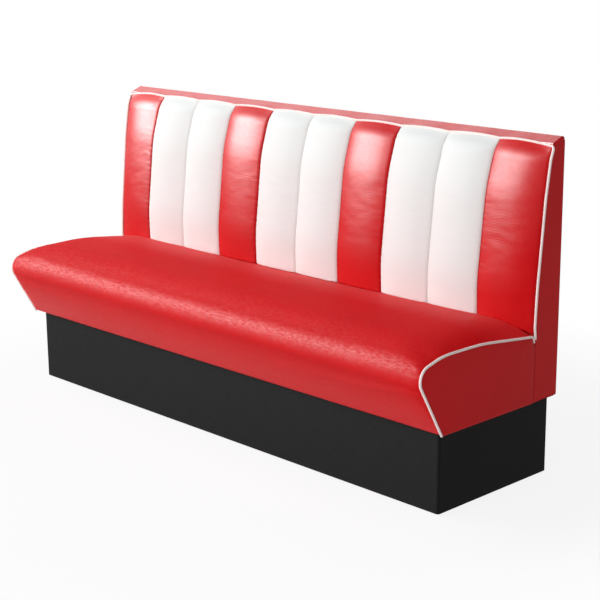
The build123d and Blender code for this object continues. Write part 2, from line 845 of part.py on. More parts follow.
def build():
    """Every node of the bench, by name."""
    pieces = {}
    for name, make in (("wrap", plinth_wrap), ("board", plinth_boards)):
        front, rear, *ends = make()
        pieces[f"plinth_front_{name}"] = front
        pieces[f"plinth_rear_{name}"] = rear
        pieces[f"plinth_end_{name}s"] = Compound(ends)
    pieces["plinth_cross_boards"] = Compound([plinth_cross_board(x) for x in cross_board_places])
    pieces["plinth_cleats"] = Compound(plinth_cleats())
    pieces["plinth_corner_blocks"] = plinth_corner_blocks()
    pieces["plinth_glides"] = plinth_glides()
    pieces["glide_nails"] = glide_nails()

    pieces["seat_top_cover"] = crowned(seat_cover_face, cover_edge)
    pieces["seat_foam"] = seat_foam()
    pieces["seat_deck"] = seat_deck()
    pieces["seat_ribs"] = Compound([seat_rib(x) for x in cross_board_places])
    pieces["seat_nose_board"] = seat_nose_board()
    pieces["seat_rear_rail"] = seat_rear_rail()
    pieces["seat_front_batten"] = seat_front_batten()
    pieces["seat_rear_batten"] = seat_rear_batten()
    pieces["seat_corner_blocks"] = seat_corner_blocks()
    pieces["seat_bottom_cloth"] = seat_bottom_cloth()
    ends = {"end_board": end_board(), "end_cover": seat_end_cover(), "piping": seat_piping()}
    for name, piece in ends.items():
        pieces[f"seat_right_{name}"], pieces[f"seat_left_{name}"] = pair(piece)

    skin = back_skin()
    core = back_core()
    rear_drop = overall_height - top_band_drop
    side = skin & room(x_low=band_seam)
    pieces["back_right_band"], pieces["back_left_band"] = pair(side)
    pieces["back_top_band"] = skin & room(x_low=-band_seam, x_high=band_seam, z_low=rear_drop)
    pieces["back_rear_cover"] = skin & room(x_low=-band_seam, x_high=band_seam, z_high=rear_drop)
    pieces["back_right_upright"], pieces["back_left_upright"] = pair(upright(core))
    pieces["back_inner_uprights"] = Compound([middle_upright(x) for x in cross_board_places])
    pieces["back_top_rail"] = top_rail(core)
    pieces["back_rear_board"] = rear_board(core)
    pieces["back_bottom_rail"] = bottom_rail()
    pieces["back_joint_rail"] = back_rail(joint_rail_foot, joint_rail_height)
    lumbar_low = lower_panel_top_height - lumbar_rail_height
    pieces["back_lumbar_rail"] = back_rail(lumbar_low, lumbar_rail_height)
    pieces["back_lower_panel"] = lower_panel()
    pieces["back_upper_panel"] = upper_panel()
    pieces["back_bottom_cloth"] = back_bottom_cloth()
    pieces["back_base_foam"] = back_base_foam()
    channels = range(channel_count)
    pieces["back_channel_foam"] = Compound([channel_foam(index) for index in channels])
    for index in channels:
        pieces[channel_name(index)] = channel_cover(index)
    pieces["back_piping"] = back_piping()

    pieces["unit_bolts"] = unit_bolts()
    pieces["unit_washers"] = unit_washers()
    pieces["unit_nuts"] = unit_nuts()
    pieces["base_screws"] = base_screws()
    return pieces


os.makedirs("parts", exist_ok=True)
for node, piece in build().items():
    export_step(piece, f"parts/{node}.step")
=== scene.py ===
import json
from math import cos, pi, radians, sin

import bpy
import numpy as np
from mathutils import Matrix, Vector


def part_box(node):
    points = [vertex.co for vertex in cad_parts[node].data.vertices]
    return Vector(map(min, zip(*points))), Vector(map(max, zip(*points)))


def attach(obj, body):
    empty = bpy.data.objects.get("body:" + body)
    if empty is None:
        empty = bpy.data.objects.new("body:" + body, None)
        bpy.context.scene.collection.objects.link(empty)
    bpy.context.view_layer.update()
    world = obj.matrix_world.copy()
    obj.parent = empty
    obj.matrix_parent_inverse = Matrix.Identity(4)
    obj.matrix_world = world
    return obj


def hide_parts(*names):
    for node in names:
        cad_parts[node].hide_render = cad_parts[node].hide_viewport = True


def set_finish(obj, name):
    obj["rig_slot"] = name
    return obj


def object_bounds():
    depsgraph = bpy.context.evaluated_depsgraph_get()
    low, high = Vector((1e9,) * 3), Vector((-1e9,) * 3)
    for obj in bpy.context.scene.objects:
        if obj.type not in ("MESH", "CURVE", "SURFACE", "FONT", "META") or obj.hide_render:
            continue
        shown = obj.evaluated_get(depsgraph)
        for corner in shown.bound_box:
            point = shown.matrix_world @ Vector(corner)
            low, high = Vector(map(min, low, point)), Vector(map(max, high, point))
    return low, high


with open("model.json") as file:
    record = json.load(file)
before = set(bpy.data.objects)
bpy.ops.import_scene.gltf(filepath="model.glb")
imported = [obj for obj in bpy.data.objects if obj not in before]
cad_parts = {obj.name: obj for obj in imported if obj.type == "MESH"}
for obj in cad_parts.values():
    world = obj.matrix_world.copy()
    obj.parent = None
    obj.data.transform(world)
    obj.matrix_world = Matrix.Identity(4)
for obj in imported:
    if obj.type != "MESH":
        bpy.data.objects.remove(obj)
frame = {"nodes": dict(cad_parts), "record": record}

# A booth bench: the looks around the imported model, in metres, in its frame.
# +X is to the right as seen by someone facing the bench, +Y to its back, and +Z up.
# A profile is an array of (depth, height) corners: depth is measured forward from the back plane.
cad_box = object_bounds()

# Places read from the frame. The unit plane is where the seat ends and the back's frame begins
back_y = cad_box[1].y
half_length = cad_box[1].x
overall_depth = back_y - cad_box[0].y
overall_height = cad_box[1].z
base_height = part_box("plinth_front_wrap")[1].z
cover_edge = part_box("seat_top_cover")[1].x
piping_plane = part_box("seat_right_end_cover")[1].x
unit_plane = back_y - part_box("back_lower_panel")[0].y
deck_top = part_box("seat_deck")[1].z
deck_front = back_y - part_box("seat_deck")[0].y
nose_board_top = (back_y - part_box("seat_nose_board")[0].y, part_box("seat_nose_board")[1].z)
end_board_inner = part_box("seat_right_end_board")[0].x
piping_radius = half_length - piping_plane

# Camera, fitted to the corners of the bench in the photograph
camera_place = (3.2165, -2.9222, 1.5040)
camera_yaw = radians(46.046)
camera_pitch = radians(14.399)
camera_roll = radians(-0.436)
camera_lens = 89.42
camera_sensor = 36

# The gap between pieces, a cover's thickness, and the most of a run that a corner's round takes
gap = 0.0003
wall = 0.0015
round_share = 0.48

# Seat
nose_board_foot = (0.470, base_height + wall)
end_puff = 0.0025
seat_foot_setback = 0.099
seat_hem = 0.015
nose_radius = 0.038
nose_rise = 0.160
nose_lift = 0.006
nose_crown = 0.014
shoulder_setback = 0.100
shoulder_rise = 0.212
crest_depth_share = 0.47
crest_rise = 0.219
heel_reach = 0.008
heel_rise = 0.194
nape_above_deck = 0.004
tail_below_deck = 0.054
top_crown = 0.022
crown_reach = 0.150
crown_power = 2.2
nose_swell = 0.008
end_fall = 0.007
end_board_setback = 0.014
seat_shine = ((0, 0.95), (0.08, 0.90), (0.17, 0.60), (0.27, 0.19), (0.38, 0.19), (0.60, 0.24), (0.78, 0.70))
seat_pebbling = ((0, 0.3), (0.24, 0.3), (0.29, 1), (0.38, 1), (0.50, 0.3), (1, 0.3))
channel_shine = ((0, 0.42), (0.38, 0.45), (0.62, 1), (1, 1))
last_channel_shine = 0.62
seat_radii = (0.010, nose_radius, 0.260, 0.800, 0.008, 0.003)
board_radii = (0.013, 0.246, 0.786, 0.003)

# Seat, its grids: the steps of a profile's runs and of its rounds, and the points of a grid
seat_steps = ((3, 12, 9, 14, 20, 6, 5), (3, 22, 16, 16, 10, 3))
board_steps = ((9, 9, 14, 20, 6), (16, 16, 16, 10))
panel_steps = ((20, 12, 16, 24, 8), (20, 16, 16, 10))
seat_stations = 141
seat_points = 76
seat_spread = 1.35
nose_column = 20

# Seat, its surface: shares are measured along its profile, and reaches from its ends
seat_run_length = 0.9
bulge_height = 0.006
bulge_rise = 0.012
bulge_reach = 0.100
bulge_span = (0.03, 0.11, 0.30, 0.44)
pucker_height = 0.0011
pucker_rise = 0.004
pucker_reach = 0.026
pucker_waves = (21, 34)
pucker_second = 0.6
pucker_start = 1.3
pucker_place = (0.27, 0.13)
drift_height = 0.00013
drift_rise = 0.02
drift_span = (0.0, 0.1, 0.7, 0.8)
drift_spacings = (0.030, 0.090)
drift_lean = 0.9
drift_seed = 5

# Seat, its end panels
end_margin = 0.004
end_ring_points = 241
end_rings = 28
end_ring_ease = 0.35
end_middle_shift = 0.02
end_puff_power = 5

# Back
panel_foot = (0.088, 0.432)
panel_head = (0.038, 0.895)
lip_depth = 0.0465
lip_drop = 0.014
end_depth_shares = (0.97, 1.02, 0.93, 0.53, 0.26)
end_height_shares = (-0.01, 0.033, 0.236, 0.7, 0.894)
seam_pad = 0.030
seam_pad_shares = (0.1, 0.77, 1.03, 0.87, 0.33)
seam_height_shares = (0.037, 0.075, 0.226, 0.71, 0.91)
channel_crown = 0.018
channel_crown_shares = (0, 1.05, 1, 1, 0.9)
crest_height_shares = (0.045, 0.09, 0.236, 0.72, 0.93)
back_radii = (0.014, 0.480, 0.400, 0.055)
scene_back_radii = (0.004, 0.480, 0.400, 0.090)
foot_bulge_share = 0.5
rest_gap = 0.0006
channel_count = 10
red_channel_step = 3
channel_power = 2.3
rear_radius = 0.012
side_edge_radius = 0.004
foot_corner_radius = 0.005
scallop_depth = 0.004
corner_fall = 0.007
corner_fall_reach = 0.130
channel_foot = (0.002, 0.003)
channel_tip_shares = (0.5, 0.6)
filling_foot = (0.0022, 0.004)
filling_tip = (0.001, 0.006)
filling_lift = 0.0005

# Back, its grids
back_steps = ((5, 12, 40, 16, 8), (8, 30, 24, 16))
top_band_steps = ((4, 14, 6), (6, 14))
side_band_steps = ((10, 90, 8), (16, 10))
rear_steps = ((60, 4), (10,))
channel_stations = 34
channel_points = 96

# Ripples over a surface are sums of so many sines
ripple_waves = 40

# Back, its channels' surface: reaches are measured from the seams
tuck_depth = 0.0022
tuck_reach = 0.0035
gather_height = 0.0004
gather_reach = 0.012
gather_waves = (27, 4.3)
gather_turn = 1.9
ripple_free_reach = 0.010
ripple_top = (0.86, 0.96)
waist_place = (0.52, 0.17)
waist_floor = 0.2
fine_ripple = 0.00004
fine_spacings = (0.0042, 0.0090)
fine_lean = 0.15
fine_seed = 11
broad_ripple = 0.00009
broad_spacings = (0.020, 0.060)
broad_lean = 0.25
broad_seed = 31
# Painted shade: how far the darker colour reaches out from each seam
crease_reach = 0.006
channel_pebbling = 0.3

# Back, its bands and rear cover
band_thickness = 0.0013
top_band_drop = 0.020
top_band_stations = 721
top_band_setbacks = (0.0006, 0.0008)
top_band_over_piping = 0.35
top_band_knee = 0.0016
top_band_knee_radius = 0.003
top_band_lift = 0.0004
side_band_behind_piping = 0.3
side_band_turn_in = 0.030
side_band_across = (16, 9, 5)
side_band_top = 0.012
side_band_lag = 0.02
front_line_points = 400
front_line_margins = (0.002, 0.004)
rear_stations = 241
rear_slack = 0.00011
rear_slack_limit = 2
rear_slack_foot = 0.03
rear_spacings = (0.06, 0.25)
rear_lean = 0.8
rear_seed = 61

# Piping
piping_sides = 14
piping_tail = 0.012
piping_corner_drop = 0.004
piping_corner_reach = 0.006
piping_side_points = 220
piping_top_points = 700
back_piping_points = 1500
seat_piping_points = 300
piping_smoothing = 9

# Cloth simulation
cloth_frames = 20
cloth_calming = 6
cloth_values = {
    "quality": 5,
    "mass": 0.4,
    "bending_stiffness": 2,
    "use_pressure": True,
    "uniform_pressure_force": 4,
    "vertex_group_mass": "pins",
}
seat_swell = 0.004
seat_foot_swell = 0.15
seat_firm_span = (0.10, 0.30)
seat_surplus = 0.006
channel_swell = 0.003
channel_surplus = 0.002

# Vinyl and wood: the parts that go into their colours and bumps
drift_share = 0.35
# Painted shade: how much the seams' field deepens the vinyl's colour
crease_share = 0.6
pebble_share = 0.35
pore_share = 0.2

# Stage: each lamp's place, size, power and aim, and whether it lights plain surfaces and gloss
lamps = (
    ("window", -40, 25, 6.0, (6.8, 3.8), 6500, (0, 0.1, 0.8), False, True),
    ("high_light", -66, 47, 6.0, (5.0, 3.0), 202, (0, 0, 0.5), True, True),
    ("rim_light", -121, 35, 5.0, (5.0, 2.5), 110, (0, 0.3, 0.9), False, True),
    ("front_light", 2, 14, 6.0, (6.0, 4.0), 187, (0, 0, 0.5), True, False),
)
surround_light = 0.31
floor_reach = 8.0
floor_fade = (1.05, 1.75)
floor_glow = 0.86
floor_tones = ((0.94, 0.94, 0.94, 1), (0.96, 0.96, 0.96, 1))
floor_tone_for_bench = (0.80, 0.80, 0.80, 1)

channel_width = 2 * cover_edge / channel_count
inner_edge = cover_edge - channel_width
side_signs = {"right": 1, "left": -1}
band_seam = piping_plane - rear_radius
heel_height = base_height + heel_rise
back_rise = overall_height - heel_height
lip_top = overall_height - lip_drop
crest_depth = unit_plane + crest_depth_share * (overall_depth - unit_plane)


pieces = []


def root_piece(piece, *nodes, slot):
    """Rides on the bench's one body, stands for the given nodes, and takes its finish from a slot."""
    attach(piece, "root")
    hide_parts(*nodes)
    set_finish(piece, slot)
    pieces.append(piece)
    return piece


# Shape tools: arrays of points over two parameters


def crossing(a, b, c, d):
    """Where the lines a-b and c-d cross, for arrays of (depth, height) points."""
    run, other = b - a, d - c
    span = c - a
    share = (span[:, 0] * other[:, 1] - span[:, 1] * other[:, 0]) / (
        run[:, 0] * other[:, 1] - run[:, 1] * other[:, 0]
    )
    return a + share[:, None] * run


def touching(point, centre, radius, side):
    """A second point on the line from a point that touches a circle to its left (1) or right (-1)."""
    away = centre - point
    reach = np.hypot(away[:, 0], away[:, 1])
    angle = np.arctan2(away[:, 1], away[:, 0]) - side * np.arcsin(radius / reach)
    return point + np.stack((np.cos(angle), np.sin(angle)), 1)


def stack(*corners):
    """Corners, each a pair of arrays or numbers, as one array of stations by corners by two."""
    rows = [np.stack(np.broadcast_arrays(*corner), -1) for corner in corners]
    count = max(len(np.atleast_2d(row)) for row in rows)
    return np.stack([np.broadcast_to(row, (count, 2)) for row in rows], 1).astype(float)


def rounded(corners, radii, run_steps, arc_steps):
    """Each station's polyline with its corners rounded, sampled alike at every station.

    A corner's round is the circular arc ((1-s)^2 A + 2w s(1-s) C + s^2 B) / ((1-s)^2 + 2w s(1-s) + s^2)
    between its tangent points A and B, where C is the corner and w the cosine of half its turn.
    """
    runs = np.diff(corners, axis=1)
    lengths = np.linalg.norm(runs, axis=2)
    ways = runs / lengths[:, :, None]
    cosine = np.clip((ways[:, :-1] * ways[:, 1:]).sum(2), -1, 1)
    half_turn = np.arccos(cosine) / 2
    reach = np.asarray(radii) * np.tan(half_turn)
    longest = round_share * np.minimum(lengths[:, :-1], lengths[:, 1:])
    reach = np.minimum(reach, longest)[:, :, None]
    starts = corners[:, 1:-1] - ways[:, :-1] * reach
    ends = corners[:, 1:-1] + ways[:, 1:] * reach
    weight = np.cos(half_turn)[:, :, None]
    parts = []
    here = corners[:, 0]
    for k in range(runs.shape[1]):
        there = starts[:, k] if k < runs.shape[1] - 1 else corners[:, -1]
        share = np.linspace(0, 1, run_steps[k], endpoint=False)[None, :, None]
        parts.append(here[:, None] + (there - here)[:, None] * share)
        if k < runs.shape[1] - 1:
            s = np.linspace(0, 1, arc_steps[k], endpoint=False)[None, :, None]
            a, b, c, w = starts[:, k, None], ends[:, k, None], corners[:, k + 1, None], weight[:, k, None]
            first, middle, last = (1 - s) ** 2, 2 * w * s * (1 - s), s**2
            parts.append((first * a + middle * c + last * b) / (first + middle + last))
            here = ends[:, k]
    parts.append(corners[:, -1:])
    return np.concatenate(parts, 1)


def drawn_in(corners, distance):
    """Each station's polyline moved to its inner side, the left of its way, by a distance."""
    runs = np.diff(corners, axis=1)
    ways = runs / np.linalg.norm(runs, axis=2, keepdims=True)
    inward = np.stack((-ways[:, :, 1], ways[:, :, 0]), 2) * distance
    starts = corners[:, :-1] + inward
    made = [starts[:, 0]]
    for k in range(1, runs.shape[1]):
        before, after = starts[:, k - 1], starts[:, k]
        made.append(crossing(before, before + ways[:, k - 1], after, after + ways[:, k]))
    made.append(corners[:, -1] + inward[:, -1])
    return np.stack(made, 1)


def lengths_along(line):
    """The length of a line up to each of its points."""
    return np.concatenate(([0], np.cumsum(np.linalg.norm(np.diff(line, axis=0), axis=1))))


def evened(lines, count):
    """Each station's line resampled at count points, equally spaced along it."""
    made = np.empty((len(lines), count, lines.shape[2]))
    for line, new_line in zip(lines, made):
        along = lengths_along(line)
        for axis in range(lines.shape[2]):
            new_line[:, axis] = np.interp(np.linspace(0, along[-1], count), along, line[:, axis])
    return made


def placed(x, profile):
    """Points in the bench's frame from x stations and their (depth, height) profiles."""
    across = np.broadcast_to(np.asarray(x)[:, None], profile.shape[:2])
    return np.stack((across, back_y - profile[:, :, 0], profile[:, :, 1]), 2)


def grid_faces(rows, columns, offset=0, flip=False):
    """The four-sided faces of a grid of points, row by row."""
    first = np.arange(rows - 1)[:, None] * columns + np.arange(columns - 1)[None, :] + offset
    faces = np.stack((first, first + 1, first + columns + 1, first + columns), 2).reshape(-1, 4)
    return faces[:, ::-1] if flip else faces


def ring_faces(loops):
    """The four-sided faces between rows of point numbers that each close on themselves."""
    after = np.roll(loops, -1, 1)
    return np.stack((loops[:-1], after[:-1], after[1:], loops[1:]), 2).reshape(-1, 4)


def linked(name, data):
    """A new object with the given data, in the scene."""
    made = bpy.data.objects.new(name, data)
    bpy.context.scene.collection.objects.link(made)
    return made


def make_mesh(name, points, faces, **fields):
    """A smooth mesh object from an array of points and a list of faces, with fields over its points."""
    mesh = bpy.data.meshes.new(name)
    mesh.from_pydata(points.reshape(-1, 3), [], faces)
    mesh.polygons.foreach_set("use_smooth", np.ones(len(mesh.polygons), bool))
    for key, values in fields.items():
        layer = mesh.attributes.new(key, "FLOAT", "POINT")
        layer.data.foreach_set("value", np.asarray(values, np.float32).ravel())
    mesh.update()
    return linked(name, mesh)


def border(rows, columns):
    """The point numbers round the edge of a grid, in order."""
    top = np.arange(columns)
    right = np.arange(1, rows) * columns + columns - 1
    bottom = (rows - 1) * columns + np.arange(columns - 2, -1, -1)
    left = np.arange(rows - 2, 0, -1) * columns
    return np.concatenate((top, right, bottom, left))


def slab(name, outer, inner, **fields):
    """A closed piece between an outer grid and a coarser inner one, joined round their edges.

    Each step of the outer edge makes a triangle with the inner edge's nearest point, and each point
    where that changes makes one with the two. Fields are values over the outer grid.
    """
    rows, columns = outer.shape[:2]
    inner_rows, inner_columns = inner.shape[:2]
    count = rows * columns
    edge = border(rows, columns)
    inner_round = border(inner_rows, inner_columns) + count
    down, over = (inner_rows - 1) / (rows - 1), (inner_columns - 1) / (columns - 1)
    steps = np.concatenate([np.full(n - 1, step) for n, step in ((columns, over), (rows, down)) * 2])
    middle = np.cumsum(steps) - steps / 2
    nearest = inner_round[np.floor(middle + 0.5).astype(int) % len(inner_round)]
    before = np.roll(nearest, 1)
    turns = nearest != before
    faces = (
        grid_faces(rows, columns, flip=True).tolist()
        + grid_faces(inner_rows, inner_columns, count).tolist()
        + np.stack((edge, np.roll(edge, -1), nearest), 1).tolist()
        + np.stack((edge, nearest, before), 1)[turns].tolist()
    )
    points = np.concatenate((outer.reshape(-1, 3), inner.reshape(-1, 3)))
    inside = np.zeros(inner_rows * inner_columns)
    fields = {key: np.concatenate((field.ravel(), inside)) for key, field in fields.items()}
    return make_mesh(name, points, faces, **fields)


def sheet_of(name, points, thickness, flip):
    """A grid of points as a sheet with a thickness behind it."""
    piece = make_mesh(name, points, grid_faces(*points.shape[:2], flip=flip).tolist())
    wall_of(piece, thickness)
    return piece


def wall_of(piece, thickness):
    """Gives a surface a wall behind its face."""
    solid = piece.modifiers.new("wall", "SOLIDIFY")
    solid.thickness = thickness
    solid.offset = -1


def tube(name, path, radius, reference):
    """A round tube along a path: path + radius (cos t N + sin t B), with closed ends.

    N is the reference direction made square to the path, and B is square to both.
    """
    way = np.gradient(path, axis=0)
    way /= np.linalg.norm(way, axis=1, keepdims=True)
    side = reference - (way @ reference)[:, None] * way
    side /= np.linalg.norm(side, axis=1, keepdims=True)
    other = np.cross(way, side)
    turn = np.linspace(0, 2 * pi, piping_sides, endpoint=False)[None, :, None]
    body = path[:, None] + radius * (np.cos(turn) * side[:, None] + np.sin(turn) * other[:, None])
    count = len(path) * piping_sides
    loops = np.arange(count).reshape(len(path), piping_sides)
    after = np.roll(loops, -1, 1)
    faces = np.stack((loops[:-1], loops[1:], after[1:], after[:-1]), 2).reshape(-1, 4).tolist()
    faces += [(count, *pair) for pair in zip(loops[0].tolist(), after[0].tolist())]
    faces += [(count + 1, *pair) for pair in zip(after[-1].tolist(), loops[-1].tolist())]
    points = np.concatenate((body.reshape(-1, 3), path[:1], path[-1:]))
    return make_mesh(name, points, faces)


def finer(points, times):
    """A grid with a point between each two down its rows, some times over: (-a + 9b + 9c - d) / 16."""
    for _ in range(times):
        first = 2 * points[:1] - points[1:2]
        last = 2 * points[-1:] - points[-2:-1]
        wide = np.concatenate((first, points, last))
        between = (9 * (wide[1:-2] + wide[2:-1]) - wide[:-3] - wide[3:]) / 16
        made = np.empty((2 * len(points) - 1, *points.shape[1:]))
        made[::2], made[1::2] = points, between
        points = made
    return points


def finer_cover(points):
    """A cover's grid, two times finer from side to side and four times along."""
    return finer(finer(points, 1).swapaxes(0, 1), 2).swapaxes(0, 1)


def calmed(field, times):
    """A grid's values averaged with their neighbours' as (a + 2b + c) / 4, both ways, some times over."""
    field = field.copy()
    for _ in range(times):
        field[1:-1] = (field[:-2] + 2 * field[1:-1] + field[2:]) / 4
        field[:, 1:-1] = (field[:, :-2] + 2 * field[:, 1:-1] + field[:, 2:]) / 4
    return field


def outward(points):
    """The unit normals of a grid, from its steps both ways."""
    normals = np.cross(np.gradient(points, axis=0), np.gradient(points, axis=1))
    return normals / np.linalg.norm(normals, axis=2, keepdims=True)


def ripples(across, along, spacings, lean, seed):
    """Fine ripples over a surface: the mean of sines whose crests run nearly across it.

    Each has its own spacing, lean and start, and the mean is scaled so that its spread is about one.
    """
    dice = np.random.default_rng(seed)
    rate = 2 * pi / dice.uniform(*spacings, ripple_waves)
    turn = dice.normal(0, lean, ripple_waves)
    start = dice.uniform(0, 2 * pi, ripple_waves)
    total = np.zeros(np.broadcast_shapes(across.shape, along.shape))
    for k in range(ripple_waves):
        total += np.sin(rate[k] * (along * cos(turn[k]) + across * sin(turn[k])) + start[k])
    return total * (2 / ripple_waves) ** 0.5


def swollen(covers, caps, surplus):
    """Covers blown up by a cloth simulation over what fills them, each point moved by up to its cap.

    A cover is a grid of points, pinned round its edge. Surplus is the share of extra cloth in it.
    """
    scene = bpy.context.scene
    made = []
    for points in covers:
        sheet = make_mesh("cover", points, grid_faces(*points.shape[:2], flip=True).tolist())
        pins = sheet.vertex_groups.new(name="pins")
        pins.add(border(*points.shape[:2]).tolist(), 1.0, "REPLACE")
        cloth = sheet.modifiers.new("cloth", "CLOTH")
        cloth.point_cache.frame_start = 1
        cloth.point_cache.frame_end = cloth_frames
        for key, value in cloth_values.items():
            setattr(cloth.settings, key, value)
        cloth.settings.shrink_min = -surplus
        cloth.settings.effector_weights.gravity = 0
        made.append(sheet)
    for frame_number in range(1, cloth_frames + 1):
        scene.frame_set(frame_number)
    graph = bpy.context.evaluated_depsgraph_get()
    results = []
    for points, sheet in zip(covers, made):
        flat = np.empty(points.size, np.float32)
        sheet.evaluated_get(graph).data.vertices.foreach_get("co", flat)
        moved = calmed(flat.reshape(points.shape) - points, cloth_calming)
        length = np.linalg.norm(moved, axis=2, keepdims=True)
        results.append(points + moved * caps * np.tanh(length / caps) / np.maximum(length, 1e-9))
    for sheet in made:
        bpy.data.meshes.remove(sheet.data)
    scene.frame_set(1)
    return results


def ease(share):
    """A smooth step from 0 to 1: 3s^2 - 2s^3."""
    share = np.clip(share, 0, 1)
    return share * share * (3 - 2 * share)


def ramp(value, start, end):
    """A smooth step from 0 at the start to 1 at the end."""
    return ease((value - start) / (end - start))


def plateau(value, start, full, waning, end):
    """1 between the full and the waning value, with smooth steps to 0 at the start and the end."""
    return ramp(value, start, full) * (1 - ramp(value, waning, end))


def dying(distance, reach):
    """1 at no distance, and e^(-distance / reach) away from it."""
    return np.exp(-distance / reach)


def bell(value, middle, spread):
    """1 at the middle, and e^-((value - middle) / spread)^2 round it."""
    return np.exp(-(((value - middle) / spread) ** 2))


def looked_up(table, along, rows):
    """The values of a table of (share, value) pairs at each share along, the same for every row."""
    places, values = zip(*table)
    return np.interp(along, places, values) * np.ones((rows, 1))


# Seat


def crown_share(x):
    """How far the seat is crowned at each x, from 0 at its piped ends to 1 a little way in."""
    return 1 - (1 - np.minimum((piping_plane - np.abs(x)) / crown_reach, 1)) ** crown_power


def seat_corners(x):
    """The seat cover's profile corners at each x, from its hem under the front edge to its tail."""
    share = crown_share(x)
    lift = top_crown * share
    fall = end_fall * (1 - share)
    radius = nose_radius + nose_swell * share
    nose_depth = overall_depth - radius - nose_crown * (1 - share)
    nose = np.stack((nose_depth, base_height + nose_rise + nose_lift * share), 1)
    foot_depth = overall_depth - seat_foot_setback
    foot = stack((foot_depth, base_height + 0 * x))[:, 0]
    shoulder = stack((overall_depth - shoulder_setback, base_height + shoulder_rise + lift))[:, 0]
    front = crossing(
        foot, touching(foot, nose, radius, 1), shoulder, touching(shoulder, nose, radius, -1)
    )
    tail_depth = unit_plane + 2 * gap
    return stack(
        (foot_depth - seat_hem, base_height),
        foot.T,
        front.T,
        shoulder.T,
        (crest_depth, base_height + crest_rise + lift - fall),
        (unit_plane + heel_reach, heel_height + lift - fall),
        (tail_depth, deck_top + nape_above_deck),
        (tail_depth, deck_top - tail_below_deck),
    )


def seat_outline(inset):
    """The profile of the seat's piped ends, from its foot to its tail, drawn in by an inset."""
    return drawn_in(seat_corners(np.array([piping_plane]))[:, 1:-1], inset)


def seat_cover():
    """The seat cover's outer surface, from its hem under the front edge back to its tail.

    Its stations stand at x = edge sign(s) (1 - (1 - |s|)^p), closer together towards both ends.
    """
    share = np.linspace(-1, 1, seat_stations)
    x = cover_edge * np.sign(share) * (1 - (1 - np.abs(share)) ** seat_spread)
    radii = np.tile(seat_radii, (len(x), 1))
    radii[:, 1] += nose_swell * crown_share(x)
    return placed(x, evened(rounded(seat_corners(x), radii, *seat_steps), seat_points))


def make_seat(cover):
    """The seat cushion: its cover and foam as one closed form over the deck and round the end boards.

    Its cover is moved along its normal by the sum of three heights, where d is the distance from the
    piped end and s the share along the profile. The bulge beside the ends is
    h (1 - e^(-d / rise)) e^(-d / reach) over the front's span. The puckers have the same form over the
    nose, with sin(2 pi a s) + k sin(2 pi b s + c) for their waves. The drift is a field of ripples that
    leaves the ends and the hidden parts alone.
    """
    outer = finer_cover(cover)
    along = np.linspace(0, 1, outer.shape[1])
    from_end = (cover_edge - np.abs(outer[:, outer.shape[1] // 2, 0])).clip(0)[:, None]
    way_out = outward(outer)
    bulge = bulge_height * (1 - dying(from_end, bulge_rise)) * dying(from_end, bulge_reach)
    first, second = (2 * pi * count * along for count in pucker_waves)
    waves = np.sin(first) + pucker_second * np.sin(second + pucker_start)
    at_end = dying(from_end, pucker_reach) * (1 - dying(from_end, pucker_rise))
    pucker = pucker_height * at_end * waves * bell(along, *pucker_place)
    drift = ripples(outer[:, :, 0], along * seat_run_length, drift_spacings, drift_lean, drift_seed)
    soft = drift_height * drift * (1 - dying(from_end, drift_rise)) * plateau(along, *drift_span)
    outer += way_out * (bulge * plateau(along, *bulge_span) + pucker + soft)[:, :, None]
    hem = (overall_depth - seat_foot_setback - seat_hem, base_height + wall)
    count = cover.shape[1]
    deck_line = [
        hem,
        (nose_board_foot[0] + gap, nose_board_foot[1]),
        (nose_board_top[0] + gap, nose_board_top[1]),
        (deck_front, deck_top + gap),
        (unit_plane + 2 * gap + wall, deck_top + gap),
        (unit_plane + 2 * gap + wall, deck_top - tail_below_deck),
    ]
    deck_line = evened(np.array([deck_line]), count)
    board_line = rounded(seat_outline(end_board_setback - gap), board_radii, *board_steps)
    end_line = evened(np.concatenate((np.array([[hem]]), board_line), 1), count)
    x = np.clip(cover[:, nose_column, 0], -cover_edge, cover_edge)
    past_board = (np.abs(x) > end_board_inner)[:, None, None]
    inner = placed(x, np.where(past_board, end_line, deck_line))
    shine = looked_up(seat_shine, along, len(outer))
    pebbled = looked_up(seat_pebbling, along, len(outer))
    return slab("seat_cushion", outer, inner, shine=shine, pebbled=pebbled)


def make_seat_end(hand):
    """The panel on one end of the seat: its outline drawn to its middle, and puffed out a little.

    Its rings are middle + s (outline - middle), and stand out by h (1 - s^p).
    """
    side = side_signs[hand]
    inset = piping_radius + gap
    radii = [max(radius - inset, inset) for radius in seat_radii[1:-1]]
    line = rounded(seat_outline(inset), radii, *panel_steps)[0]
    rear = unit_plane + gap
    line = line[line[:, 0] > rear + end_margin]
    line = line[line[:, 1] > base_height]
    foot = line[0] + (line[0] - line[1]) / (line[0] - line[1])[1] * (base_height - line[0][1])
    tail = [(rear, line[-1][1] - end_margin), (rear, base_height), foot]
    ring = np.concatenate(([foot], line, tail))
    ring = evened(ring[None], end_ring_points)[0][:-1]
    middle = np.array([(rear + overall_depth) / 2, (base_height + deck_top) / 2])
    middle += (-end_middle_shift, end_middle_shift)
    step = np.linspace(0, 1, end_rings)[1:]
    share = step + end_ring_ease * (ease(step) - step)
    flat = middle + (ring - middle)[None] * share[:, None, None]
    x = side * (piping_plane + end_puff * (1 - share**end_puff_power))
    tip = [[side * (piping_plane + end_puff), back_y - middle[0], middle[1]]]
    points = np.concatenate((placed(x, flat).reshape(-1, 3), tip))
    rows, columns = flat.shape[:2]
    loops = np.arange(rows * columns).reshape(rows, columns)
    fan = np.stack((np.full(columns, rows * columns), np.roll(loops[0], -1), loops[0]), 1)
    faces = ring_faces(loops).tolist() + fan.tolist()
    if side > 0:
        faces = [face[::-1] for face in faces]
    piece = make_mesh(f"seat_{hand}_end_panel", points, faces)
    wall_of(piece, band_thickness)
    return piece


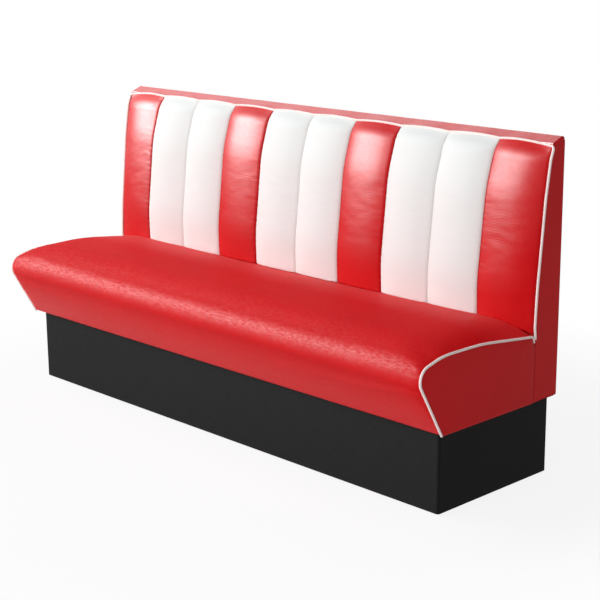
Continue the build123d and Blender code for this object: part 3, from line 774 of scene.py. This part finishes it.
def back_corners():
    """The end, seam and crest profiles of the back, from the crevice up to the piping along its top."""
    end_shares = np.array(end_depth_shares)
    depth = lip_depth + end_shares * (unit_plane - lip_depth)
    pads = depth + np.array(seam_pad_shares) * seam_pad
    crests = pads + np.array(channel_crown_shares) * channel_crown
    lip = np.array([[lip_depth, lip_top]])
    made = []
    height_shares = (end_height_shares, seam_height_shares, crest_height_shares)
    for depths, shares in zip((depth, pads, crests), height_shares):
        heights = heel_height + np.array(shares) * back_rise
        made.append(np.concatenate((np.stack((depths, heights), 1), lip)))
    return made


end_profile, seam_profile, crest_profile = back_corners()


def lip_height(x):
    """The height of the piping along the top: scalloped by the channels, and falling to each end.

    The scallop is h ((2s - 1)^2 - 1/2) over a channel's share s, and gives way to the fall h e^2 as e
    goes from 0 to 1 over the last stretch.
    """
    share = (np.clip(x, -cover_edge + 1e-6, cover_edge - 1e-6) + cover_edge) / channel_width % 1
    scallop = scallop_depth * ((2 * share - 1) ** 2 - 0.5)
    at_end = np.clip((np.abs(x) - (piping_plane - corner_fall_reach)) / corner_fall_reach, 0, 1)
    return lip_top - scallop * (1 - at_end) - corner_fall * at_end**2


def seat_top(x, depth):
    """The height of the seat's top at each x and depth, over its run from the crevice to its crest."""
    share = crown_share(x)
    slope = (crest_rise - heel_rise) / (crest_depth - unit_plane - heel_reach)
    heel = heel_height + top_crown * share - end_fall * (1 - share)
    return heel + slope * (depth - unit_plane - heel_reach)


def back_line(x, bulge, count):
    """The back cover's line at each x, from the seat up, bulged by a share of a channel's crest."""
    share = np.clip((np.abs(x) - inner_edge) / (piping_plane - inner_edge), 0, 1)[:, None, None]
    base = seam_profile + (end_profile - seam_profile) * share
    corners = base + (crest_profile - seam_profile) * bulge[:, None, None]
    depth = base[:, 1, 0] + (corners[:, 1, 0] - base[:, 1, 0]) * foot_bulge_share
    corners[:, 1, 0] = depth
    corners[:, 1, 1] = seat_top(x, depth) + rest_gap
    corners[:, 0, 0] = unit_plane + channel_foot[0]
    corners[:, 0, 1] = seat_top(x, corners[:, 0, 0]) - channel_foot[1]
    corners[:, -1, 0] += piping_radius * channel_tip_shares[0]
    corners[:, -1, 1] = lip_height(x) - piping_radius * channel_tip_shares[1]
    return evened(rounded(corners, scene_back_radii, *back_steps), count)


def end_rise(count, margin):
    """The back's rounded end profile up to a margin under the top piping, and that piping's height."""
    line = evened(rounded(end_profile[None], back_radii, *back_steps), count)[0]
    top = lip_height(np.array([piping_plane]))[0]
    return line[line[:, 1] < top - margin], top


def channel_colour(index):
    """A channel's colour: the first and every third after it are red."""
    return "red" if index % red_channel_step == 0 else "white"


def channel_name(index):
    """A channel's node name, with its colour."""
    return f"back_channel_{index + 1:02d}_{channel_colour(index)}"


def channel_x(index, count):
    """The x of a channel's stations, from its left seam to its right."""
    left = -cover_edge + index * channel_width + gap / 2
    return left + (channel_width - gap) * np.linspace(0, 1, count)


def channel_cover(index):
    """One channel's outer surface: its depth bulges by 1 - |2s - 1|^p across it."""
    share = np.linspace(0, 1, channel_stations)
    bulge = 1 - np.abs(2 * share - 1) ** channel_power
    x = channel_x(index, channel_stations)
    return placed(x, back_line(x, bulge, channel_points))


def make_channel(index, cover):
    """One channel of the back: its cover and foam as one closed form, tucked in along both seams.

    Its cover is moved back by three depths, where d is the distance from the nearer seam and s the
    share along the profile: the tuck, h e^(-(d / reach)^2); the gathers,
    h e^(-d / reach) sin(2 pi a s + c) sin(2 pi b s + 2c), with c its own for each channel; and two
    fields of ripples, strongest at the waist, that leave the seams and the top alone.
    """
    outer = finer_cover(cover)
    rows, columns = outer.shape[:2]
    across = np.linspace(0, channel_width, rows)[:, None]
    from_seam = np.minimum(across, channel_width - across)
    along = np.linspace(0, 1, columns)
    height = along * back_rise
    phase = index * gather_turn
    first, second = (2 * pi * count * along for count in gather_waves)
    waves = np.sin(first + phase) * np.sin(second + 2 * phase)
    gather = gather_height * dying(from_seam, gather_reach) * waves
    tuck = tuck_depth * bell(from_seam, 0, tuck_reach)
    fine = fine_ripple * ripples(across, height, fine_spacings, fine_lean, fine_seed + index)
    broad = broad_ripple * ripples(across, height, broad_spacings, broad_lean, broad_seed + index)
    waist = waist_floor + (1 - waist_floor) * bell(along, *waist_place)
    free = (1 - dying(from_seam, ripple_free_reach)) * (1 - ramp(along, *ripple_top))
    outer[:, :, 1] += tuck + gather + free * waist * (fine + broad)
    panel = [
        (unit_plane + filling_foot[0], heel_height - filling_foot[1]),
        (panel_foot[0] + gap, panel_foot[1]),
        (panel_head[0] + gap, panel_head[1]),
        (lip_depth - filling_tip[0], lip_top - filling_tip[1]),
    ]
    panel = evened(np.array([panel]), cover.shape[1])
    inner = placed(channel_x(index, len(cover)), np.repeat(panel, len(cover), 0))
    inner[:, 0, 2] = outer[::2, 0, 2] + filling_lift
    # Painted shade: a field that deepens the colour along both seams, where the crevices fall in shade
    crease = dying(from_seam, crease_reach) * np.ones(columns)
    fading = 1 + (last_channel_shine - 1) * index / (channel_count - 1)
    shine = fading * looked_up(channel_shine, along, rows)
    pebbled = channel_pebbling * np.ones((rows, columns))
    return slab(f"{channel_name(index)}_pad", outer, inner, crease=crease, shine=shine, pebbled=pebbled)


def rear_top():
    """The height at which the line of the back's top, from the piping to the rear round, meets the rear."""
    r = rear_radius
    lip = np.array([[lip_depth, lip_top]])
    run = touching(lip, np.array([[r, overall_height - r]]), r, 1)[0] - lip[0]
    return lip_top - run[1] / run[0] * lip_depth


def make_top_band():
    """The band along the back's top: from the piping, over the front edge, and down the rear a little."""
    edge = piping_plane - side_edge_radius
    x = np.linspace(-edge, edge, top_band_stations)
    lip = lip_height(x)
    knee = np.maximum(lip, lip_top) + top_band_knee
    corners = stack(
        (lip_depth + top_band_setbacks[0], lip + piping_radius * top_band_over_piping),
        (lip_depth + top_band_setbacks[1], knee),
        (0.0, rear_top() + top_band_lift),
        (0.0, overall_height - top_band_drop),
    )
    line = rounded(corners, (top_band_knee_radius, rear_radius), *top_band_steps)
    return sheet_of("back_top_band_cover", placed(x, line), band_thickness, flip=True)


def side_front_line():
    """The front edge of the back's side panels, from the piping's corner down to the foot."""
    line, top = end_rise(front_line_points, front_line_margins[0])
    line = np.concatenate(([[line[-1, 0], top]], line[::-1]))
    line[:, 0] -= piping_radius * side_band_behind_piping
    foot = [[unit_plane, line[-1, 1] - front_line_margins[1]], [unit_plane, base_height]]
    return np.concatenate((line, foot))


def make_side_band(hand):
    """The panel up one side of the back: flat, then turned over its edges by a round, and on to the rear.

    Its rows run from the front edge to the edge drawn in by the round's radius r, then along
    P - N r (1 - sin t) at x = plane - r + r cos t, where P is the outline and N its way out, and then
    along the rear to the cover there, or a little sunk under the top band.
    """
    side = side_signs[hand]
    r = side_edge_radius
    flat_steps, round_steps, rear_places = side_band_across
    corners = stack(
        (lip_depth, lip_top),
        (0.0, rear_top()),
        (0.0, base_height),
        (side_band_turn_in, base_height),
    )
    outline = rounded(corners, (rear_radius, foot_corner_radius), *side_band_steps)[0]
    way = np.gradient(outline, axis=0)
    way /= np.linalg.norm(way, axis=1, keepdims=True)
    out = np.stack((way[:, 1], -way[:, 0]), 1)
    out *= np.sign(out[0, 1])
    turned_in = outline - out * r
    front = side_front_line()
    along, front_along = lengths_along(outline), lengths_along(front)
    level = (overall_height - outline[:, 1]).clip(0)
    reach = np.maximum.accumulate(side_band_lag * along / along[-1] + level)
    reach = (reach - reach[0]) / (reach[-1] - reach[0]) * front_along[-1]
    front = np.stack([np.interp(reach, front_along, front[:, k]) for k in range(2)], 1)
    share = np.linspace(0, 1, flat_steps)[None, :, None]
    flat = front[:, None] + (turned_in - front)[:, None] * share
    turn = np.linspace(0, pi / 2, round_steps)[1:]
    curved = outline[:, None] - out[:, None] * (r * (1 - np.sin(turn)))[None, :, None]
    sunk = (band_thickness + gap) * (1 - ramp(level, side_band_top, top_band_drop))
    onward = np.linspace(0, 1, rear_places)[1:]
    rest = np.repeat((outline - out * sunk[:, None])[:, None], len(onward), 1)
    table = np.concatenate((flat, curved, rest), 1)
    run = piping_plane - r - band_seam - gap / 2
    x = np.concatenate((np.zeros(flat_steps), r * (1 - np.cos(turn)), r + run * onward))
    x = np.broadcast_to(x, table.shape[:2])
    points = np.stack((side * (piping_plane - x), back_y - table[:, :, 0], table[:, :, 1]), 2)
    return sheet_of(f"back_{hand}_band_cover", points, band_thickness, flip=side > 0)


def make_rear_cover():
    """The cover on the back's rear: from the top band down, slightly slack, and turned under at its foot."""
    x = np.linspace(-band_seam, band_seam, rear_stations)
    foot_end = rear_radius - gap
    corners = stack((0 * x, overall_height - top_band_drop), (0.0, base_height), (foot_end, base_height))
    line = rounded(corners, (foot_corner_radius,), *rear_steps)
    slack = ripples(x[:, None], line[:, :, 1], rear_spacings, rear_lean, rear_seed)
    slack = slack.clip(-rear_slack_limit, rear_slack_limit) + rear_slack_limit
    line[:, :, 0] += rear_slack * slack * ramp(line[:, :, 1], base_height, base_height + rear_slack_foot)
    return sheet_of("back_rear_cover_sheet", placed(x, line), band_thickness, flip=True)


def make_back_piping():
    """The piping up one side of the back, over its scalloped top and down the other side."""
    rise = end_rise(piping_side_points, piping_corner_drop)[0]
    rise = np.concatenate((rise[:1] - [[0, piping_tail]], rise))
    rise = placed([piping_plane], rise[None])[0]
    edge = piping_plane - piping_corner_reach
    x = np.linspace(edge, -edge, piping_top_points)
    top = placed(x, stack((lip_depth, lip_height(x))))[:, 0]
    path = np.concatenate((rise, top, rise[::-1] * (-1, 1, 1)))
    path = evened(path[None], back_piping_points)[0]
    kernel = np.hanning(piping_smoothing)
    kernel /= kernel.sum()
    margin = piping_smoothing // 2
    path = np.concatenate((path[:1].repeat(margin, 0), path, path[-1:].repeat(margin, 0)))
    path = np.stack([np.convolve(path[:, k], kernel, "valid") for k in range(3)], 1)
    return tube("back_piping_cord", path, piping_radius, (0, -1, 0))


def make_seat_piping(hand):
    """The piping round one end of the seat, from its foot up over the nose to the crevice."""
    line = rounded(seat_outline(0), seat_radii[1:-1], *(steps[1:-1] for steps in seat_steps))
    line = evened(line, seat_piping_points)[0]
    line = line[line[:, 0] > unit_plane + piping_radius]
    path = placed([side_signs[hand] * piping_plane], line[None])[0]
    return tube(f"seat_{hand}_piping_cord", path, piping_radius, (1, 0, 0))


firm = ramp(np.linspace(0, 1, seat_points), *seat_firm_span)[None, :, None]
seat_caps = seat_swell * (seat_foot_swell + (1 - seat_foot_swell) * firm)
seat_blown = swollen([seat_cover()], seat_caps, seat_surplus)[0]
channel_covers = [channel_cover(index) for index in range(channel_count)]
channels_blown = swollen(channel_covers, channel_swell, channel_surplus)
seat = root_piece(make_seat(seat_blown), "seat_top_cover", "seat_foam", slot="red_vinyl")
channels = []
for index, cover in enumerate(channels_blown):
    pad = make_channel(index, cover)
    slot = f"{channel_colour(index)}_vinyl"
    nodes = (channel_name(index), "back_channel_foam", "back_base_foam")
    channels.append(root_piece(pad, *nodes, slot=slot))
for hand in side_signs:
    root_piece(make_seat_end(hand), f"seat_{hand}_end_cover", slot="red_vinyl")
top_band = root_piece(make_top_band(), "back_top_band", slot="red_vinyl")
root_piece(make_rear_cover(), "back_rear_cover", slot="red_vinyl")
for hand in side_signs:
    root_piece(make_side_band(hand), f"back_{hand}_band", slot="red_vinyl")
root_piece(make_back_piping(), "back_piping", slot="piping_vinyl")
for hand in side_signs:
    root_piece(make_seat_piping(hand), f"seat_{hand}_piping", slot="piping_vinyl")


# Materials: the numbers of a tree are the values of its nodes' own named sockets


class Tone:
    """One output of a shader tree, with the arithmetic that the materials use."""

    def __init__(self, finish, socket):
        self.finish = finish
        self.socket = socket

    def math(self, operation, first, second):
        return self.finish.node("ShaderNodeMath", {"operation": operation}, {0: first, 1: second})

    def __add__(self, other):
        return self.math("ADD", self, other)

    def __sub__(self, other):
        return self.math("SUBTRACT", self, other)

    def __rsub__(self, other):
        return self.math("SUBTRACT", other, self)

    def __mul__(self, other):
        return self.math("MULTIPLY", self, other)

    __radd__ = __add__
    __rmul__ = __mul__


class Finish:
    """The node tree of a new material, or of the world."""

    def __init__(self, name, kind=bpy.data.materials):
        self.owner = kind.new(name)
        self.owner.use_nodes = True
        self.tree = self.owner.node_tree
        self.tree.nodes.clear()

    def node(self, kind, settings=(), inputs=(), output=0):
        """Adds a shader node, with its settings and then the values or links of its sockets."""
        node = self.tree.nodes.new(kind)
        for key, value in dict(settings).items():
            setattr(node, key, value)
        for key, value in dict(inputs).items():
            if isinstance(value, Tone):
                self.tree.links.new(value.socket, node.inputs[key])
            else:
                node.inputs[key].default_value = value
        return Tone(self, node.outputs[output]) if len(node.outputs) else None

    def place(self):
        """The place of a point in its piece's own frame."""
        return self.node("ShaderNodeTexCoord", output="Object")

    def field(self, name):
        """The value of a mesh's field."""
        return self.node("ShaderNodeAttribute", {"attribute_name": name}, output="Fac")

    def noise(self, place, scale, **more):
        """Noise of so many waves in a metre."""
        return self.node("ShaderNodeTexNoise", (), {"Vector": place, "Scale": scale, **more})

    def bump(self, height, strength, distance):
        """A normal from a height."""
        inputs = {"Height": height, "Strength": strength, "Distance": distance}
        return self.node("ShaderNodeBump", (), inputs)

    def colours(self, share, first, second):
        """A colour that goes from the first to the second by a share."""
        inputs = {0: share, 6: first, 7: second}
        return self.node("ShaderNodeMix", {"data_type": "RGBA"}, inputs, 2)

    def mixed(self, share, first, second):
        """A surface that goes from the first to the second by a share."""
        return self.node("ShaderNodeMixShader", (), {0: share, 1: first, 2: second})

    def seen(self):
        """1 for the camera's rays and those in gloss and glass, and 0 for the rest."""
        kinds = ("Is Camera Ray", "Is Glossy Ray", "Is Transmission Ray")
        camera, gloss, glass = (self.node("ShaderNodeLightPath", output=kind) for kind in kinds)
        return camera.math("MAXIMUM", camera, gloss.math("MAXIMUM", gloss, glass))

    def done(self, surface, output="ShaderNodeOutputMaterial"):
        """The material or world, once its surface is joined to its output."""
        self.node(output, (), {"Surface": surface})
        return self.owner

    def painted(self, colour, roughness, **more):
        """The material, once it is given a principled surface; _ stands for a space in a socket's name."""
        inputs = {key.replace("_", " "): value for key, value in more.items()}
        inputs |= {"Base Color": colour, "Roughness": roughness}
        return self.done(self.node("ShaderNodeBsdfPrincipled", (), inputs))


def linear(red, green, blue):
    """A display colour from 0 to 255 as the linear colour that a shader takes."""
    parts = np.array([red, green, blue]) / 255
    made = np.where(parts <= 0.04045, parts / 12.92, ((parts + 0.055) / 1.055) ** 2.4)
    return (*made.tolist(), 1)


def vinyl(
    name, colour, deep, gloss, gloss_roughness, grain, mottle=0.3, skin=1.5, creased=False, shined=False
):
    """Grained vinyl: a clear skin over a fine pebble, with stretch lines and a slow drift of colour.

    The skin's weight is gloss (1 + 2 mottle (dapple - 1/2)). A creased mesh has a field of painted shade
    that deepens the colour at its seams, and a shined one has fields for the weight and for its mottling.
    """
    f = Finish(name)
    place = f.place()
    stretched = f.node("ShaderNodeMapping", (), {"Vector": place, "Scale": (0.35, 1, 1)})
    settings = {"Vector": place, "Scale": 420, "Smoothness": 0.8}
    pebble = f.node("ShaderNodeTexVoronoi", {"feature": "SMOOTH_F1"}, settings)
    lines = f.noise(stretched, 130, Detail=4, Roughness=0.6)
    dapple = f.noise(stretched, 230, Detail=2, Roughness=0.5)
    share = f.noise(place, 3.2, Detail=2) * drift_share
    # Painted shade: the seams' field deepens the colour beside them
    if creased:
        share = share + f.field("crease") * crease_share
    uneven = (dapple - 0.5) * (2 * mottle)
    if shined:
        uneven = uneven * f.field("pebbled")
    weight = (uneven + 1) * gloss
    if shined:
        weight = weight * f.field("shine")
    height = pebble * pebble_share + lines * (1 - pebble_share)
    return f.painted(
        f.colours(share, linear(*colour), linear(*deep)),
        lines * 0.14 + 0.5,
        Normal=f.bump(height, 0.4 * grain, 0.0012),
        Specular_IOR_Level=0.0,
        Coat_Weight=weight,
        Coat_Roughness=gloss_roughness,
        Coat_IOR=skin,
    )


def wood(name, light, dark, scale=7.0, stretch=(0.08, 1, 1)):
    """Planed or laid wood: grain bands along one axis, with fine pores."""
    f = Finish(name)
    along = f.node("ShaderNodeMapping", (), {"Vector": f.place(), "Scale": stretch})
    rings = f.noise(along, scale * 6, Detail=5, Distortion=1.2)
    pores = f.noise(along, scale * 90, Detail=3)
    share = rings * (1 - pore_share) + pores * pore_share
    colour = f.colours(share, linear(*light), linear(*dark))
    return f.painted(colour, rings * 0.2 + 0.5, Normal=f.bump(pores, 0.3, 0.0004))


def woven(name, colour, deep):
    """Plain cloth or open foam: crossed threads in its bump and colour."""
    f = Finish(name)
    inputs = {"Vector": f.place(), "Scale": 320, "Distortion": 0.4}
    warp, weft = (f.node("ShaderNodeTexWave", {"bands_direction": axis}, inputs) for axis in "XY")
    thread = warp * weft
    colour = f.colours(thread, linear(*deep), linear(*colour))
    return f.painted(colour, thread * -0.1 + 0.9, Normal=f.bump(thread, 0.5, 0.0004))


def plated(name):
    """Zinc plated steel: a faint bloom in its colour and gloss."""
    f = Finish(name)
    bloom = f.noise(f.place(), 240, Detail=3)
    colour = f.colours(bloom, linear(205, 206, 210), linear(160, 164, 172))
    return f.painted(colour, bloom * 0.25 + 0.25, Metallic=1)


def moulded(name):
    """Moulded black plastic, with a fine spark-eroded texture."""
    f = Finish(name)
    spark = f.noise(f.place(), 1500, Detail=2)
    colour = f.colours(spark, linear(30, 30, 31), linear(44, 44, 46))
    return f.painted(colour, spark * 0.2 + 0.45, Normal=f.bump(spark, 0.3, 0.0003))


seat_red = vinyl(
    "seat_red_vinyl", (214, 8, 16), (170, 5, 12), 0.92, 0.56, 0.8, mottle=1.4, skin=1.33, shined=True
)
# Painted shade: the top band's red is a darker copy of the red vinyl, for the shade that falls on the band
shaded_top_red = vinyl("shaded_top_red_vinyl", (198, 8, 16), (156, 5, 12), 0.66, 0.36, 0.5)
channel_red = vinyl(
    "channel_red_vinyl", (214, 8, 16), (160, 5, 12), 0.34, 0.42, 0.5, mottle=1.0, creased=True, shined=True
)
slot_finish = {
    "red_vinyl": vinyl("red_vinyl", (214, 8, 16), (160, 5, 12), 0.30, 0.36, 0.5),
    "white_vinyl": vinyl("white_vinyl", (242, 245, 244), (230, 229, 227), 0.004, 0.45, 0.4, creased=True),
    "black_vinyl": vinyl("black_vinyl", (19, 18, 18), (13, 12, 12), 0.16, 0.40, 0.4),
    "piping_vinyl": vinyl("piping_vinyl", (254, 240, 237), (248, 224, 220), 0.06, 0.40, 0.4),
    "foam": woven("open_foam", (232, 224, 190), (196, 184, 140)),
    "plywood": wood("plywood", (214, 180, 132), (176, 136, 90)),
    "softwood": wood("softwood", (226, 196, 146), (186, 146, 96), 4.0),
    "hardboard": wood("hardboard", (128, 88, 58), (96, 64, 42), 20.0, (1, 1, 1)),
    "black_cloth": woven("base_cloth", (34, 34, 36), (14, 14, 15)),
    "steel": plated("zinc_plate"),
    "glide_plastic": moulded("glide_plastic"),
}


def coat(piece, material):
    """Gives a piece one material."""
    piece.data.materials.clear()
    piece.data.materials.append(material)


for part in frame["record"]["subparts"]:
    coat(frame["nodes"][part["node"]], slot_finish[part["material_slot"]])
for piece in pieces:
    coat(piece, slot_finish[piece["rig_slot"]])
coat(seat, seat_red)
# Painted shade: the top band takes the darker copy of the red
coat(top_band, shaded_top_red)
for pad in channels[::red_channel_step]:
    coat(pad, channel_red)


# Stage, light and camera


def make_floor():
    """A plain white floor that keeps the bench's shadow, and gives way to the surround further out."""
    points = floor_reach * np.array([[-1, -1, 0], [1, -1, 0], [1, 1, 0], [-1, 1, 0]])
    floor = make_mesh("floor", points, [[0, 1, 2, 3]])
    f = Finish("pale_floor")
    place = f.place()
    reach = f.node("ShaderNodeVectorMath", {"operation": "LENGTH"}, {"Vector": place}, "Value")
    span = {"Value": reach, "From Min": floor_fade[0], "From Max": floor_fade[1]}
    fade = f.node("ShaderNodeMapRange", {"interpolation_type": "SMOOTHSTEP"}, span)
    pale = f.colours(f.noise(place, 30), *floor_tones)
    plain = f.node("ShaderNodeBsdfDiffuse", (), {"Color": pale})
    dull = f.node("ShaderNodeBsdfDiffuse", (), {"Color": floor_tone_for_bench})
    bright = f.mixed(floor_glow, plain, f.node("ShaderNodeEmission"))
    shown = f.mixed(fade, bright, f.node("ShaderNodeBsdfTransparent"))
    coat(floor, f.done(f.mixed(f.seen(), dull, shown)))


def make_world():
    """An even white surround: plain white to the camera and in gloss, and dimmer as light on the bench."""
    f = Finish("surround", bpy.data.worlds)
    lit, shown = (
        f.node("ShaderNodeBackground", (), {"Color": (1, 1, 1, 1), "Strength": strength})
        for strength in (surround_light, 1.0)
    )
    bpy.context.scene.world = f.done(f.mixed(f.seen(), lit, shown), "ShaderNodeOutputWorld")


def softbox(name, azimuth, elevation, distance, size, power, aim, on_plain, on_gloss):
    """A square soft light: azimuth 0 stands in front of the bench, and 90 at its right."""
    light = bpy.data.lights.new(name, "AREA")
    light.shape = "RECTANGLE"
    light.size, light.size_y = size
    light.energy = power
    lamp = linked(name, light)
    a, e = radians(azimuth), radians(elevation)
    away = np.array([sin(a) * cos(e), -cos(a) * cos(e), sin(e)])
    lamp.location = np.array(aim) + away * distance
    lamp.rotation_mode = "QUATERNION"
    lamp.rotation_quaternion = Vector(away).to_track_quat("Z", "Y")
    lamp.visible_diffuse = on_plain
    lamp.visible_glossy = on_gloss


def make_camera():
    """The camera at the photograph's place, from its yaw, pitch and roll."""
    data = bpy.data.cameras.new("photo_camera")
    data.lens = camera_lens
    data.sensor_width = camera_sensor
    camera = linked("photo_camera", data)
    camera.matrix_world = (
        Matrix.Translation(camera_place)
        @ Matrix.Rotation(camera_yaw, 4, "Z")
        @ Matrix.Rotation(pi / 2 - camera_pitch, 4, "X")
        @ Matrix.Rotation(camera_roll, 4, "Z")
    )
    bpy.context.scene.camera = camera


make_floor()
make_world()
make_camera()
for lamp in lamps:
    softbox(*lamp)
bpy.context.scene.view_settings.view_transform = "Standard"
